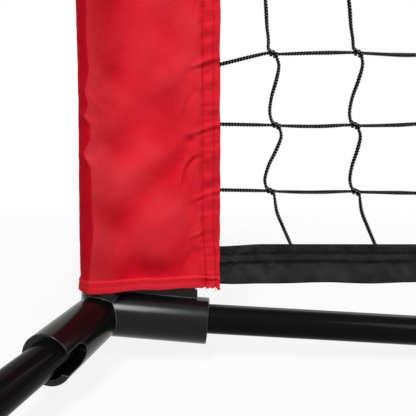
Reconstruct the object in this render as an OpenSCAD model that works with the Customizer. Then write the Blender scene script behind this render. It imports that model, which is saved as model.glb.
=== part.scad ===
// Portable lawn-game net on a knock-down tube frame: two end connectors carry the poles, the ground rail
// and four splayed legs, and a mesh net hangs between two fabric pole sleeves.

/* [Tubes] */
// Outer diameter of every tube
tube_d = 25; // [23:0.5:26]
// Wall of every tube
tube_wall = 1.2; // [0.8:0.1:2]
// Length of each leg tube
leg_length = 480; // [400:10:560]
// Height of a pole above its seat
pole_length = 718; // [640:10:760]

/* [Connector] */
// Outer diameter of the rail and leg sockets
socket_d = 39; // [37.6:0.2:41]
// Outer diameter of the pole socket at its foot
pole_socket_d = 35.2; // [34.4:0.2:37]
// Outer diameter of the pole socket at its mouth
pole_lip_d = 33; // [32:0.2:33.4]
// Bore diameter at a socket's mouth
mouth_d = 29; // [28:0.2:30]
// Gap round a tube at the bottom of its tapered bore
seat_gap = 0.2; // [0.15:0.05:0.4]
// Depth of every bore
bore_depth = 62; // [50:1:70]
// Centre of the connector to the mouth of the rail socket
rail_socket_length = 90; // [86:1:100]
// Centre of the connector to the mouth of a leg socket
leg_socket_length = 83; // [80:1:95]
// Centre of the connector to the mouth of the pole socket
pole_socket_length = 82; // [76:1:90]
// Downward slope of the rail and leg sockets
socket_slope = 5; // [4:0.1:6]
// Outward splay of the legs, from square to the net
leg_splay = 14.85; // [5:0.05:25]
// Rounding of a socket's outer lip
lip_round = 1; // [0.5:0.1:2]
// Width of the notch in a leg socket's mouth
notch_width = 17; // [10:0.5:20]
// Length of that notch
notch_length = 21.5; // [15:0.5:30]
// Turn of the notch round its socket, up from level
notch_turn = -3; // [-10:1:20]
// Thickness of the web over the rail socket
web_thick = 3.4; // [2:0.1:3.6]
// Reach of the web along the rail socket
web_reach = 81; // [70:1:82]
// Height of the web's low end above the connector's centre
web_low = 19.2; // [16:0.2:19.6]
// Height of the web's top against the pole socket
web_high = 60; // [40:1:70]

/* [Feet and rail joints] */
// Wall of a rubber foot cap
foot_wall = 3; // [2:0.25:5]
// Length of a foot cap
foot_length = 36; // [25:1:50]
// Depth of the flat tread worn into a foot cap
tread_depth = 1; // [0.5:0.1:1.5]
// Wall of a rail joint
joint_wall = 3; // [2.5:0.1:4]
// Length of a rail joint's arm, from the bend
joint_arm = 52; // [45:1:70]
// Half the thickness of the stop between the two tubes of a rail joint
stop_half = 4; // [2:0.5:6]
// Radial gap between a rail joint and its tubes
joint_gap = 0.1; // [0.05:0.05:0.15]
// Width of the band over the bend
band_width = 12; // [6:1:20]
// Height of that band above the arms
band_rise = 0.7; // [0.3:0.1:1]
// Length of a rail joint's foot
pad_length = 72; // [50:1:80]
// Width of a rail joint's foot
pad_width = 24; // [18:1:30]
// Thickness of a rail joint's foot below the joint's round wall
pad_thick = 1.2; // [0.8:0.1:3]

/* [Snap buttons] */
// Diameter of a snap button
button_d = 6.8; // [5:0.2:8]
// Diameter of the flange that keeps it in
flange_d = 10; // [9:0.2:11]
// Thickness of that flange
flange_thick = 1; // [0.8:0.1:1.5]
// Gap round a snap button
button_gap = 0.1; // [0.05:0.05:0.15]
// Height of a button above the joint's wall
button_proud = 1.6; // [1:0.1:2]
// Travel of a button
button_travel = 5; // [4.6:0.1:5.4]
// Distance of a button from the bend
button_place = 27; // [22:1:34]
// Thickness of the spring strip
strip_thick = 0.8; // [0.5:0.1:1]
// Width of the spring strip
strip_width = 7; // [5:0.5:8]
// Length of a spring's arms
strip_length = 34; // [25:1:45]

/* [Sleeves] */
// Clearance of a sleeve over the pole socket
sleeve_clear = 0.6; // [0.5:0.1:1.5]
// Clearance of a sleeve round its pole
sleeve_ease = 2.5; // [2:0.1:4]
// Height over which a sleeve narrows from the socket to the pole
sleeve_taper = 280; // [240:10:320]
// Thickness of the sleeve fabric
fabric = 0.8; // [0.6:0.1:1]
// Pole axis to the end of the sleeve's pocket
pocket = 86; // [84:1:100]
// Width of the seam margin beyond the pocket
margin = 14; // [10:1:25]
// Thickness of the seam margin
margin_thick = 3.2; // [2.6:0.1:5]
// Bottom edge of a sleeve above the connector's centre
sleeve_low = 21.5; // [20:0.5:30]
// Height of the bottom hem
hem = 10; // [6:0.5:20]
// Extra thickness of the hem
hem_thick = 0.6; // [0.2:0.1:1.5]
// Height of the soft folds
fold = 2.4; // [0:0.1:3]
// Distance between folds up the sleeve
fold_pitch = 250; // [180:10:400]
// Thickness of a pole cap's head
cap_head = 9; // [4:0.5:12]
// Length of a pole cap's plug
cap_plug = 18; // [10:1:30]

/* [Net] */
// Number of upright twines
mesh_columns = 23; // [11:2:23]
// Distance between upright twines
mesh_w = 68.5; // [60:0.5:80]
// Number of level twines
mesh_rows = 11; // [9:1:11]
// Sleeve edge to the first upright twine
side_gap = 44; // [30:1:60]
// Bottom tape to the lowest level twine
low_gap = 44; // [30:1:60]
// Width of a twine
twine = 2.3; // [1.6:0.1:3]
// Sideways bow of an upright twine between two knots
bow = 5; // [0:0.5:8]
// Sideways step of an upright twine across a knot, each way
knot_lean = 3; // [0:0.1:4]
// Scatter of the knots
scatter = 2; // [0:0.1:3]
// Sideways lean of the lowest strands into the tape
lean = 17; // [0:1:20]
// Height of the bottom and top tapes
tape_height = 33; // [20:1:50]
// Thickness of the tapes
tape_thick = 2.4; // [1.6:0.1:4]
// Bottom edge of the bottom tape above the connector's centre
tape_low = 26; // [24:1:40]
// Top of the top tape to the top of the sleeves
tape_drop = 8.1; // [4:0.1:20]

/* [Hidden] */
tube_r = tube_d / 2;
bore_r = tube_r - tube_wall;
socket_r = socket_d / 2;
pole_socket_r = pole_socket_d / 2;
pole_lip_r = pole_lip_d / 2;
mouth_r = mouth_d / 2;
seat_r = tube_r + seat_gap;
draft = atan((mouth_r - seat_r) / bore_depth);
tube_slope = socket_slope - draft;
seat_start = tube_r * sin(draft) + seat_gap / 2;
rail_seat = rail_socket_length - bore_depth;
leg_seat = leg_socket_length - bore_depth;
pole_seat = pole_socket_length - bore_depth;
foot_r = tube_r + foot_wall;
leg_reach = leg_length + foot_wall;
hub_z = leg_seat * sin(socket_slope) + leg_reach * sin(tube_slope) + foot_r * cos(tube_slope) - tread_depth;
joint_bore = tube_r + joint_gap;
joint_r = joint_bore + joint_wall;
rail_z = joint_r + pad_thick;
rail_run = (hub_z - rail_seat * sin(socket_slope) - rail_z) / sin(tube_slope);
pole_x = (mesh_columns - 1) * mesh_w / 2 + side_gap + pocket + margin;
bend_x = pole_x - rail_seat * cos(socket_slope) - rail_run * cos(tube_slope);
pole_z = hub_z + pole_seat + seat_gap / 2;
net_x = pole_x - pocket - margin;
tape_top = hub_z + tape_low + tape_height;
cap_z = pole_z + pole_length;
pocket_top = cap_z + cap_head + seat_gap;
sleeve_height = pocket_top + fabric - hub_z - sleeve_low;
mesh_top = pocket_top + fabric - tape_drop - tape_height;
mesh_h = (mesh_top - tape_top - 2 * low_gap) / (mesh_rows - 1);
nose_turn = 30;
sleeve_low_r = (pole_socket_r + sleeve_clear) / cos(nose_turn / 2) + fabric;
sleeve_high_r = tube_r + sleeve_ease + fabric;
edge = 0.01;
$fn = 64;

// ---- placing ----

// side is -1 for the left end and 1 for the right end, which mirrors it
module at_end(side) mirror([side > 0 ? 1 : 0, 0, 0]) children();

// row is -1 for the front and 1 for the rear
module at_row(row) mirror([0, row > 0 ? 1 : 0, 0]) children();

// the connector's centre, at the left end
module at_hub() translate([-pole_x, 0, hub_z]) children();

// turns +X to point along a socket or tube
module heading(turn, slope) rotate([0, slope, turn]) children();

// stands a revolved shape on the +X axis
module along_x() rotate([0, 90, 0]) children();

// the front leg's seat, with +X along its tube
module at_leg() at_hub() heading(-90 - leg_splay, socket_slope)
    translate([leg_seat, 0, 0]) rotate([0, -draft, 0]) children();

// the rail's seat in the connector, with +X along its tube
module at_rail() at_hub() heading(0, socket_slope)
    translate([rail_seat, 0, 0]) rotate([0, -draft, 0]) children();

// the bend of the left rail joint, with +X along its outer or inner arm
module at_bend(outer) translate([-bend_x, 0, rail_z])
    rotate([0, outer ? tube_slope : 0, 0]) mirror([outer ? 1 : 0, 0, 0]) children();

// ---- common shapes ----

module tube(length) along_x() difference() {
    cylinder(h = length, r = tube_r);
    translate([0, 0, -1]) cylinder(h = length + 2, r = bore_r);
}

// a solid bar with a rounded far lip
module lipped(length, r, round) rotate_extrude() {
    square([r, length - round]);
    square([r - round, length]);
    translate([r - round, length - round]) intersection() {
        circle(r = round);
        square(round);
    }
}

module tapered_bore() cylinder(h = bore_depth + 1, r1 = seat_r, r2 = mouth_r + tan(draft));

// ---- connector ----

module leg_notch() rotate([notch_turn, 0, 0]) translate([leg_socket_length - notch_length, 0, 0])
    rotate([-90, 0, 0]) linear_extrude(socket_r + 1) {
        translate([notch_width / 2, 0]) circle(d = notch_width);
        translate([notch_width / 2, -notch_width / 2]) square([notch_length, notch_width]);
    }

module web() rotate([90, 0, 0]) translate([0, 0, -web_thick / 2]) linear_extrude(web_thick)
    polygon([[0, 0], [web_reach, -web_reach * tan(socket_slope)], [web_reach, web_low],
        [pole_lip_r - 1, web_high], [0, web_high]]);

// narrows a little towards its chamfered mouth
module pole_socket() rotate_extrude() polygon([[0, 0], [pole_socket_r, 0],
    [pole_lip_r, pole_socket_length - lip_round], [pole_lip_r - lip_round, pole_socket_length],
    [0, pole_socket_length]]);

module connector_shape() difference() {
    union() {
        sphere(r = socket_r);
        pole_socket();
        heading(0, socket_slope) along_x() lipped(rail_socket_length, socket_r, lip_round);
        for (row = [-1, 1])
            at_row(row) heading(-90 - leg_splay, socket_slope)
                along_x() lipped(leg_socket_length, socket_r, lip_round);
        web();
    }
    translate([0, 0, pole_seat]) tapered_bore();
    heading(0, socket_slope) translate([rail_seat, 0, 0]) along_x() tapered_bore();
    for (row = [-1, 1]) at_row(row) heading(-90 - leg_splay, socket_slope) {
        translate([leg_seat, 0, 0]) along_x() tapered_bore();
        leg_notch();
    }
}

module connector(side) color([0.05, 0.05, 0.05]) at_end(side) at_hub() connector_shape();

// ---- legs ----

module leg_tube(side, row) color([0.02, 0.02, 0.02]) at_end(side) at_row(row) at_leg()
    translate([seat_start, 0, 0]) tube(leg_length - seat_start);

module foot_cap(side, row) color([0.08, 0.08, 0.08]) difference() {
    at_end(side) at_row(row) at_leg() translate([leg_reach - foot_length, 0, 0]) along_x() difference() {
        lipped(foot_length, foot_r, foot_wall - 0.5);
        translate([0, 0, -1]) cylinder(h = foot_length - foot_wall + 1, r = tube_r);
    }
    translate([-2 * pole_x, -2 * leg_length, -foot_r]) cube([4 * pole_x, 4 * leg_length, foot_r]);
}

// ---- ground rail ----

module rail_end_tube(side) color([0.02, 0.02, 0.02]) at_end(side) difference() {
    at_rail() translate([seat_start, 0, 0]) tube(rail_run - stop_half - seat_start);
    at_bend(true) button_hole();
}

module rail_middle_tube() color([0.02, 0.02, 0.02]) difference() {
    translate([stop_half - bend_x, 0, rail_z]) tube(2 * (bend_x - stop_half));
    for (side = [-1, 1]) at_end(side) at_bend(false) button_hole();
}

module button_hole() translate([button_place, 0, 0]) cylinder(h = 2 * joint_r, d = button_d + 2 * button_gap);

// the band that covers the bend, square to the line between its two arms
module at_band() translate([-bend_x, 0, rail_z]) rotate([0, tube_slope / 2, 0]) along_x() children();

module rail_joint(side) color([0.06, 0.06, 0.06]) at_end(side) difference() {
    union() {
        at_band() translate([0, 0, -band_width / 2]) cylinder(h = band_width, r = joint_r + band_rise);
        for (outer = [true, false]) at_bend(outer) along_x() lipped(joint_arm, joint_r, lip_round);
        translate([-bend_x - pad_length / 2, -pad_width / 2, 0]) cube([pad_length, pad_width, rail_z]);
    }
    at_band() translate([0, 0, -stop_half - 1]) cylinder(h = 2 * stop_half + 2, r = bore_r - 1);
    for (outer = [true, false]) at_bend(outer) {
        translate([stop_half, 0, 0]) along_x() cylinder(h = joint_arm, r = joint_bore);
        button_hole();
    }
}

// ---- snap buttons ----

// the flange's top stays under the tube's round inner wall
flange_top = sqrt(bore_r * bore_r - flange_d * flange_d / 4) - button_gap;
button_top = joint_r + button_proud;

module snap_button(side, outer) color([0.7, 0.7, 0.72]) at_end(side) at_bend(outer)
    translate([button_place, 0, 0]) {
        translate([0, 0, flange_top - flange_thick]) cylinder(h = flange_thick, d = flange_d);
        translate([0, 0, flange_top - flange_thick])
            lipped(button_top - flange_top + flange_thick, button_d / 2, button_d / 4);
    }

// a strip bent into a V: one arm under the button, the other on the tube's inner wall
module button_spring(side, outer) color([0.6, 0.6, 0.62]) at_end(side) at_bend(outer) {
    arm_top = flange_top - flange_thick - edge;
    arm_low = edge - sqrt(bore_r * bore_r - strip_width * strip_width / 4);
    middle = (arm_top + arm_low) / 2;
    start = button_place - flange_d / 2;
    knee = button_place + flange_d / 2;
    nose = start + strip_length;
    translate([0, strip_width / 2, 0]) rotate([90, 0, 0]) linear_extrude(strip_width)
        polygon([[start, arm_top], [knee, arm_top], [nose, middle + strip_thick],
            [nose, middle - strip_thick], [knee, arm_low], [start, arm_low],
            [start, arm_low + strip_thick], [knee, arm_low + strip_thick],
            [nose - 2 * strip_thick, middle], [knee, arm_top - strip_thick], [start, arm_top - strip_thick]]);
}

// ---- poles ----

module pole(side) color([0.02, 0.02, 0.02]) at_end(side) translate([-pole_x, 0, pole_z])
    rotate([0, -90, 0]) tube(pole_length);

module pole_cap(side) color([0.08, 0.08, 0.08]) at_end(side) translate([-pole_x, 0, cap_z]) {
    lipped(cap_head, tube_r, lip_round);
    translate([0, 0, -cap_plug]) cylinder(h = cap_plug + edge, r = bore_r - joint_gap);
}

// ---- sleeves ----

// radius round the pole at a height z: wide over the socket, close on the pole further up
function sleeve_r(z) = sleeve_high_r + (sleeve_low_r - sleeve_high_r) * pow(max(0, 1 - z / sleeve_taper), 2);

// half the depth of the pocket at a distance x from the pole's axis
function pocket_half(x, r) = 0.35 + (r - 0.35) * (1 - pow(min(1, x / pocket), 1.7));

// height of the soft diagonal folds, which fade out at the pole, the seam and both ends
function fold_at(x, z) = fold * sin(180 * min(1, x / pocket)) * sin(360 * (z / fold_pitch + x / pocket))
    * min(1, max(0, (z - hem) / mesh_h)) * min(1, (sleeve_height - z) / mesh_h);

// one level outline, from the back of the pole round its outer side to the seam and back
shares = [0.35, 0.7, 1];
function outline(z, r, thick, seam_x, seam_half) = concat(
    [for (k = [0:6]) [r * cos(90 + nose_turn * k), r * sin(90 + nose_turn * k), z]],
    [for (s = shares) [s * pocket, -pocket_half(s * pocket, r - thick) - thick - fold_at(s * pocket, z), z]],
    [[seam_x, -seam_half, z], [seam_x, seam_half, z]],
    [for (k = [2:-1:0]) let (s = shares[k])
        [s * pocket, pocket_half(s * pocket, r - thick) + thick - fold_at(s * pocket, z), z]]);
count = len(outline(0, 20, 1, 50, 1));

// levels of the rings: both edges of the hem, then evenly up to the top
spans = 8;
levels = concat([0, hem, hem + 0.8],
    [for (k = [1:spans]) hem + 0.8 + (sleeve_height - hem - 0.8) * k / spans]);
last = len(levels) - 1;

// side faces between ring a and ring b, each given by the index of its first point
function band(a, b, flip) = [for (k = [0:count - 1]) let (n = (k + 1) % count)
    each flip ? [[a + k, b + n, b + k], [a + k, a + n, b + n]] : [[a + k, b + k, b + n], [a + k, b + n, a + n]]];

module sleeve(side) color([0.8, 0.03, 0.07]) at_end(side) translate([-pole_x, 0, hub_z + sleeve_low]) {
    outer = [for (k = [0:last]) each outline(levels[k], sleeve_r(levels[k]) + (k < 2 ? hem_thick : 0),
        fabric + (k < 2 ? hem_thick : 0), pocket + margin, margin_thick / 2)];
    inner = [for (k = [0:last]) each outline(levels[k] - (k == last ? fabric : 0),
        sleeve_r(levels[k]) - fabric, 0, pocket + 1, 0.2)];
    points = concat(outer, inner, [[0, 0, sleeve_height], [0, 0, sleeve_height - fabric]]);
    hole = len(outer);
    tip = 2 * hole;
    top = last * count;
    faces = concat(
        [for (k = [0:last - 1]) each band(k * count, (k + 1) * count, false)],
        [for (k = [0:last - 1]) each band(hole + k * count, hole + (k + 1) * count, true)],
        band(hole, 0, false),
        [for (k = [0:count - 1]) [top + (k + 1) % count, top + k, tip]],
        [for (k = [0:count - 1]) [hole + top + k, hole + top + (k + 1) % count, tip + 1]]);
    polyhedron(points, faces);
}

// ---- net ----

// places of the knots, scattered a little by a wave that never repeats over the net
function knot_x(i, j) = (i - (mesh_columns - 1) / 2) * mesh_w + scatter * sin(137 * i + 211 * j + 250);
function knot_z(i, j) = tape_top + low_gap + j * mesh_h + 0.6 * scatter * sin(97 * i + 163 * j + 60);

half = twine / 2;
corners = [for (z = [-half, half], y = [-half, half], x = [-half, half])
    [x - sign(z) * knot_lean, y, z]];
knots = [for (i = [0:mesh_columns - 1], j = [0:mesh_rows - 1])
    each [for (c = corners) c + [knot_x(i, j), 0, knot_z(i, j)]]];

// a level ring of four points, in the order in which it turns round +Z, or round +X
function ring_z(p) = [for (c = [[-half, -half, 0], [half, -half, 0], [half, half, 0], [-half, half, 0]]) p + c];
function ring_x(p) = [for (c = [[0, -half, -half], [0, half, -half], [0, half, half], [0, -half, half]]) p + c];

// each upright strand has a bowed ring above its lower knot, and the first starts in the tape
bows = [for (i = [0:mesh_columns - 1], s = [0:mesh_rows])
    let (low = s == 0 ? [knot_x(i, 0) + lean, tape_top] : [knot_x(i, s - 1), knot_z(i, s - 1)],
        high = s == mesh_rows ? [knot_x(i, s - 1), mesh_top] : [knot_x(i, s), knot_z(i, s)])
    each ring_z([low[0] * 0.25 + high[0] * 0.75 + bow, 0, low[1] * 0.25 + high[1] * 0.75])];
column_ends = [for (i = [0:mesh_columns - 1]) each concat(ring_z([knot_x(i, 0) + lean, 0, tape_top]),
    ring_z([knot_x(i, mesh_rows - 1), 0, mesh_top]))];
row_ends = [for (j = [0:mesh_rows - 1]) each concat(ring_x([-net_x, 0, knot_z(0, j)]),
    ring_x([net_x, 0, knot_z(mesh_columns - 1, j)]))];

bows_at = len(knots);
column_ends_at = bows_at + len(bows);
row_ends_at = column_ends_at + len(column_ends);
function knot_ring(i, j, order) = [for (c = order) (i * mesh_rows + j) * 8 + c];
function four(first) = [first, first + 1, first + 2, first + 3];
function bow_ring(i, s) = four(bows_at + (i * (mesh_rows + 1) + s) * 4);
function above(i, j) = knot_ring(i, j, [4, 5, 7, 6]);
function below(i, j) = knot_ring(i, j, [0, 1, 3, 2]);
function right(i, j) = knot_ring(i, j, [1, 3, 7, 5]);
function left(i, j) = knot_ring(i, j, [0, 2, 6, 4]);
function strand(a, b) = [for (k = [0:3]) let (n = (k + 1) % 4) each [[a[k], b[k], b[n]], [a[k], b[n], a[n]]]];
function start_cap(a) = [[a[0], a[1], a[2]], [a[0], a[2], a[3]]];
function end_cap(a) = [[a[2], a[1], a[0]], [a[3], a[2], a[0]]];

module net_mesh() color([0.03, 0.03, 0.03]) polyhedron(
    concat(knots, bows, column_ends, row_ends),
    concat(
        [for (i = [0:mesh_columns - 1], j = [0:mesh_rows - 1]) let (k = (i * mesh_rows + j) * 8)
            each [[k, k + 4, k + 5], [k, k + 5, k + 1], [k + 3, k + 7, k + 6], [k + 3, k + 6, k + 2]]],
        [for (i = [0:mesh_columns - 1], s = [0:mesh_rows])
            let (low = s == 0 ? four(column_ends_at + i * 8) : above(i, s - 1),
                high = s == mesh_rows ? four(column_ends_at + i * 8 + 4) : below(i, s))
            each concat(strand(low, bow_ring(i, s)), strand(bow_ring(i, s), high))],
        [for (i = [0:mesh_columns - 1])
            each concat(start_cap(four(column_ends_at + i * 8)), end_cap(four(column_ends_at + i * 8 + 4)))],
        [for (i = [0:mesh_columns], j = [0:mesh_rows - 1])
            let (from = i == 0 ? four(row_ends_at + j * 8) : right(i - 1, j),
                to = i == mesh_columns ? four(row_ends_at + j * 8 + 4) : left(i, j))
            each strand(from, to)],
        [for (j = [0:mesh_rows - 1])
            each concat(start_cap(four(row_ends_at + j * 8)), end_cap(four(row_ends_at + j * 8 + 4)))]));

module tape(low) color([0.12, 0.12, 0.12]) translate([-net_x, -tape_thick / 2, low])
    cube([2 * net_x, tape_thick, tape_height]);

connector(-1);  // connector_left
connector(1);  // connector_right
leg_tube(-1, -1);  // leg_tube_front_left
leg_tube(-1, 1);  // leg_tube_rear_left
leg_tube(1, -1);  // leg_tube_front_right
leg_tube(1, 1);  // leg_tube_rear_right
foot_cap(-1, -1);  // foot_cap_front_left
foot_cap(-1, 1);  // foot_cap_rear_left
foot_cap(1, -1);  // foot_cap_front_right
foot_cap(1, 1);  // foot_cap_rear_right
rail_end_tube(-1);  // rail_tube_left
rail_middle_tube();  // rail_tube_middle
rail_end_tube(1);  // rail_tube_right
rail_joint(-1);  // rail_joint_left
rail_joint(1);  // rail_joint_right
snap_button(-1, true);  // snap_button_left_outer
snap_button(-1, false);  // snap_button_left_inner
snap_button(1, true);  // snap_button_right_outer
snap_button(1, false);  // snap_button_right_inner
button_spring(-1, true);  // button_spring_left_outer
button_spring(-1, false);  // button_spring_left_inner
button_spring(1, true);  // button_spring_right_outer
button_spring(1, false);  // button_spring_right_inner
pole(-1);  // pole_left
pole(1);  // pole_right
pole_cap(-1);  // pole_cap_left
pole_cap(1);  // pole_cap_right
sleeve(-1);  // sleeve_left
sleeve(1);  // sleeve_right
net_mesh();
tape(tape_top - tape_height);  // bottom_tape
tape(mesh_top);  // top_tape
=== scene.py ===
import math

import bpy
import numpy as np
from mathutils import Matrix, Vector


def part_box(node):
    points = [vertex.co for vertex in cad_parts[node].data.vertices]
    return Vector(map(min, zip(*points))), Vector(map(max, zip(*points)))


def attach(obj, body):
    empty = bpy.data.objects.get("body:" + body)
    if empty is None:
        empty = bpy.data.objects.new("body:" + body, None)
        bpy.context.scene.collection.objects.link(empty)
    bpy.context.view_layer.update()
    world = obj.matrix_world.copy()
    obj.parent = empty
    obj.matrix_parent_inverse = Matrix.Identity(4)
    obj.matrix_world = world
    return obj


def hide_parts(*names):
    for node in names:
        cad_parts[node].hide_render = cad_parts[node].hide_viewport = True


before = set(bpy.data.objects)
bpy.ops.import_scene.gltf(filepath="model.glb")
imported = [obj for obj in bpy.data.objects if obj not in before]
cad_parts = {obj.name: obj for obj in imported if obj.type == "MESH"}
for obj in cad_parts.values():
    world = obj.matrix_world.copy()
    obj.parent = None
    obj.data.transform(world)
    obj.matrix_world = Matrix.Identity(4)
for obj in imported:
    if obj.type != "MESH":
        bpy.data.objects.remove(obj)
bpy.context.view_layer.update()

MM = 0.001

# ---- places, from the frame ----

pole_low, pole_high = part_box("pole_left")
sleeve_low, sleeve_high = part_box("sleeve_left")
net_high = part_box("net_mesh")[1]
tape_low, tape_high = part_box("bottom_tape")
top_tape_low, top_tape_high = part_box("top_tape")
POLE_X = -(pole_low.x + pole_high.x) / 2
SLEEVE_Z = sleeve_low.z
SLEEVE_H = sleeve_high.z - sleeve_low.z
NET_X = net_high.x
SEAM_END = POLE_X - NET_X

# ---- shader kit ----


class Value:
    """A number or colour that varies over a surface. Arithmetic on it adds Math nodes."""

    def __init__(self, nodes, socket):
        self.nodes = nodes
        self.socket = socket

    def math(self, operation, first, second=0.0):
        return self.nodes.math(operation, first, second)

    def __add__(self, other):
        return self.math("ADD", self, other)

    def __sub__(self, other):
        return self.math("SUBTRACT", self, other)

    def __rsub__(self, other):
        return self.math("SUBTRACT", other, self)

    def __mul__(self, other):
        return self.math("MULTIPLY", self, other)

    def __abs__(self):
        return self.math("ABSOLUTE", self)

    def sine(self):
        return self.math("SINE", self)

    def above(self, low, high):
        """0 below low, 1 above high and smooth between them."""
        settings = {"interpolation_type": "SMOOTHSTEP"}
        return self.nodes.node("ShaderNodeMapRange", settings, {0: self, 1: low, 2: high})

    def beside(self, output):
        """Another output of the same node."""
        return Value(self.nodes, self.socket.node.outputs[output])

    __radd__ = __add__
    __rmul__ = __mul__


class Nodes:
    """A node tree. Every node that is added to it comes from its node method."""

    def __init__(self, tree):
        self.tree = tree

    def node(self, kind, settings=None, inputs=None, output=0):
        """One output of a new node: the settings are set first, then its inputs get their values or links."""
        made = self.tree.nodes.new(kind)
        for name, value in (settings or {}).items():
            setattr(made, name, value)
        for key, value in (inputs or {}).items():
            self.feed(made.inputs[key], value)
        return Value(self, made.outputs[output]) if made.outputs else None

    def feed(self, socket, value):
        if isinstance(value, Value):
            self.tree.links.new(value.socket, socket)
        else:
            socket.default_value = value

    def math(self, operation, first, second=0.0):
        return self.node("ShaderNodeMath", {"operation": operation}, {0: first, 1: second})

    def mix_shaders(self, share, plain, shown):
        return self.node("ShaderNodeMixShader", inputs={0: share, 1: plain, 2: shown})

    def background_ray(self):
        """1 for rays that show the background: seen directly, in a reflection, or through something clear."""
        direct = self.node("ShaderNodeLightPath", output="Is Camera Ray")
        either = self.math("MAXIMUM", direct, direct.beside("Is Glossy Ray"))
        return self.math("MAXIMUM", either, direct.beside("Is Transmission Ray"))


class Finish(Nodes):
    """One material, with the nodes that vary it. Words of a socket's name are joined by underlines."""

    def __init__(self, name, **fixed):
        self.material = bpy.data.materials.new(name)
        self.material.use_nodes = True
        super().__init__(self.material.node_tree)
        self.shader = self.tree.nodes["Principled BSDF"]
        self.set(**fixed)

    def set(self, **sockets):
        for name, value in sockets.items():
            self.feed(self.shader.inputs[name.replace("_", " ")], value)

    def place(self):
        """The point in the object's own frame, in metres."""
        return self.node("ShaderNodeTexCoord", output="Object")

    def two_parts(self, vector):
        """x and y of a vector."""
        x = self.node("ShaderNodeSeparateXYZ", inputs={0: vector})
        return x, x.beside(1)

    def cloth_place(self):
        """How far round and how far up the cloth a point lies, in metres."""
        return self.two_parts(self.node("ShaderNodeUVMap", {"uv_map": "cloth"}))

    def noise(self, scale, detail, roughness=0.5, stretch=None):
        at = self.place()
        if stretch:
            at = self.node("ShaderNodeMapping", inputs={"Vector": at, "Scale": stretch})
        inputs = {"Vector": at, "Scale": scale, "Detail": detail, "Roughness": roughness}
        return self.node("ShaderNodeTexNoise", inputs=inputs)

    def mark(self, name):
        """A number stored on the mesh."""
        return self.node("ShaderNodeAttribute", {"attribute_name": name}, output="Fac")

    def mix(self, share, first, second):
        """A colour between two colours."""
        return self.node("ShaderNodeMix", {"data_type": "RGBA"}, {0: share, 6: first, 7: second}, output=2)

    def rounded_normal(self, reach):
        return self.node("ShaderNodeBevel", {"samples": 4}, {"Radius": reach})

    def edge(self, reach):
        """1 on the edges of the shape, 0 on its flats and rounds."""
        normals = {0: self.rounded_normal(reach), 1: self.node("ShaderNodeNewGeometry", output="Normal")}
        same = self.node("ShaderNodeVectorMath", {"operation": "DOT_PRODUCT"}, normals, output="Value")
        return (1 - same).above(0.006, 0.07)

    def bumped(self, height, depth, edge=0.0):
        """The material, raised by height in units of depth metres, over edges softened to a radius of edge."""
        inputs = {"Height": height, "Distance": depth}
        if edge:
            inputs["Normal"] = self.rounded_normal(edge)
        self.set(Normal=self.node("ShaderNodeBump", inputs=inputs))
        return self.material


def grey(value):
    """A grey that leans slightly to blue."""
    return (value, value, value * 1.02, 1.0)


# ---- finishes ----


def moulded_plastic(name, base, gloss, grain, shine):
    """Black moulded plastic: flow marks vary the gloss, a fine grain breaks the highlights, and the edges and
    creases are painted pale grey as a painted highlight.
    """
    finish = Finish(name, Specular_IOR_Level=shine, Base_Color=grey(base))
    flow = finish.noise(38.0, 4.0)
    fine = finish.noise(2600.0, 2.0)
    scuff = finish.noise(420.0, 5.0, 0.7, (1.0, 1.0, 0.25)).above(0.64, 0.8)
    dark = finish.mix(scuff * 0.5, grey(base), grey(base * 3.2))
    # painted highlight: edges and the creases between parts are painted pale grey
    finish.set(
        Base_Color=finish.mix(finish.edge(0.8 * MM), dark, grey(0.16)),
        Roughness=flow * 0.14 + scuff * 0.15 + (gloss - 0.07),
    )
    return finish.bumped(fine * grain + flow * 0.35, 0.12 * MM, edge=0.9 * MM)


def gloss_tube():
    """Powder-coated steel: a faint orange peel, hairline scratches along the tube."""
    finish = Finish("gloss_black_tube", Specular_IOR_Level=0.04, Base_Color=grey(0.003))
    peel = finish.noise(260.0, 2.0)
    scratch = finish.noise(900.0, 3.0, 0.6, (0.03, 1.0, 1.0)).above(0.66, 0.78)
    finish.set(
        Base_Color=finish.mix(scratch * 0.35, grey(0.004), grey(0.02)),
        Roughness=peel * 0.07 + scratch * 0.2 + 0.14,
    )
    return finish.bumped(peel, 0.03 * MM)


def foot_rubber():
    """Matt black rubber with a fine grain and a little pale dust."""
    finish = Finish("foot_rubber", Specular_IOR_Level=0.35, Base_Color=grey(0.016))
    grain = finish.noise(1500.0, 3.0)
    dust = finish.noise(60.0, 4.0, 0.65).above(0.5, 0.75)
    finish.set(
        Base_Color=finish.mix(dust * 0.5, grey(0.014), (0.05, 0.045, 0.038, 1)),
        Roughness=dust * 0.15 + 0.68,
    )
    return finish.bumped(grain, 0.2 * MM)


def plated_steel(name, base, rough):
    """Plated steel with a fine drawn grain."""
    finish = Finish(name, Metallic=1.0, Base_Color=grey(base))
    grain = finish.noise(1800.0, 3.0, 0.6, (1.0, 1.0, 0.1))
    finish.set(
        Base_Color=finish.mix(grain, grey(base * 0.85), grey(base * 1.1)),
        Roughness=grain * 0.2 + rough,
    )
    return finish.bumped(grain, 0.03 * MM)


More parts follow.
